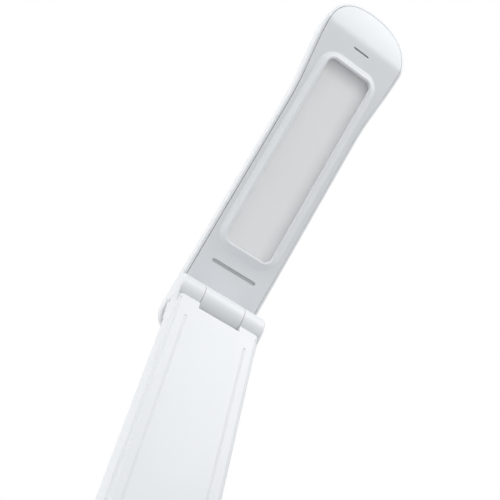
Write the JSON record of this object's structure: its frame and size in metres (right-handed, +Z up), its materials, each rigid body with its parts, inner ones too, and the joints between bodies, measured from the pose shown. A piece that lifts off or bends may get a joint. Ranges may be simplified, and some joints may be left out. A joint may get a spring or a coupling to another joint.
{
  "type": "folding desk lamp",
  "caption": "Folding desk lamp: flat LED head with a flared tip, flat arm and weighted base, joined by two friction hinges.",
  "frame": {"origin": "middle of the pad's lower face, on the surface that the lamp stands on", "axes": "+Z up, +X along both hinge pins, -Y the front, where the head points"},
  "size_m": [0.11, 0.2405, 0.4742],
  "materials": {
    "base_pad": "soft",
    "base_lower_shell": "satin",
    "base_upper_shell": "satin",
    "ballast_plate": "zinc",
    "battery": "foil",
    "control_board": "solder mask",
    "tact_switch": "moulded",
    "usb_board": "solder mask",
    "usb_socket": "plated",
    "charge_light": "clear",
    "button_ring": "brushed",
    "power_button": "satin",
    "base_hinge_post": "smooth",
    "post_screws": "zinc",
    "base_screws": "zinc",
    "lower_pin": "ground",
    "lower_pin_cap": "satin",
    "lower_washers": "spring bronze",
    "arm_shell": "smooth",
    "arm_rear_cover": "satin",
    "arm_stiffener": "mill",
    "arm_ribbon": "flat cable",
    "arm_screws": "zinc",
    "upper_pin": "ground",
    "upper_pin_cap": "satin",
    "upper_washers": "spring bronze",
    "head_hinge_block": "smooth",
    "block_screws": "zinc",
    "head_top_shell": "smooth",
    "head_bottom_cover": "satin",
    "slot_strip": "satin",
    "diffuser": "opal",
    "reflector_tray": "satin",
    "led_board": "white solder mask",
    "leds": "phosphor",
    "head_ribbon": "flat cable"
  },
  "bodies": {
    "base": {"base_pad": "base_pad", "base_lower_shell": "base_lower_shell", "base_upper_shell": "base_upper_shell", "ballast_plate": "ballast_plate", "battery": "battery", "control_board": "control_board", "tact_switch": "tact_switch", "usb_board": "usb_board", "usb_socket": "usb_socket", "charge_light": "charge_light", "button_ring": "button_ring", "base_hinge_post": "base_hinge_post", "post_screws": "post_screws", "base_screws": "base_screws"},
    "arm": {"lower_pin": "lower_pin", "lower_pin_cap": "lower_pin_cap", "lower_washers": "lower_washers", "arm_shell": "arm_shell", "arm_rear_cover": "arm_rear_cover", "arm_stiffener": "arm_stiffener", "arm_ribbon": "arm_ribbon", "arm_screws": "arm_screws", "upper_pin": "upper_pin", "upper_pin_cap": "upper_pin_cap", "upper_washers": "upper_washers"},
    "head": {"head_hinge_block": "head_hinge_block", "block_screws": "block_screws", "head_top_shell": "head_top_shell", "head_bottom_cover": "head_bottom_cover", "slot_strip": "slot_strip", "diffuser": "diffuser", "reflector_tray": "reflector_tray", "led_board": "led_board", "leds": "leds", "head_ribbon": "head_ribbon"},
    "button": {"power_button": "power_button"}
  },
  "joints": [
    {"name": "arm_fold", "type": "hinge", "parent": "base", "child": "arm", "pos_m": [0, 0.062, 0.0445], "axis": [1, 0, 0], "range_deg": [-15, 105]},
    {"name": "head_fold", "type": "hinge", "parent": "arm", "child": "head", "pos_m": [0, 0.12205, 0.26859], "axis": [1, 0, 0], "range_deg": [-43, 137]},
    {"name": "button_press", "type": "slide", "parent": "base", "child": "button", "axis": [0, 0, -1], "range_m": [0, 0.0008], "stiffness_N_per_m": 1500, "springref_m": -0.0005}
  ]
}
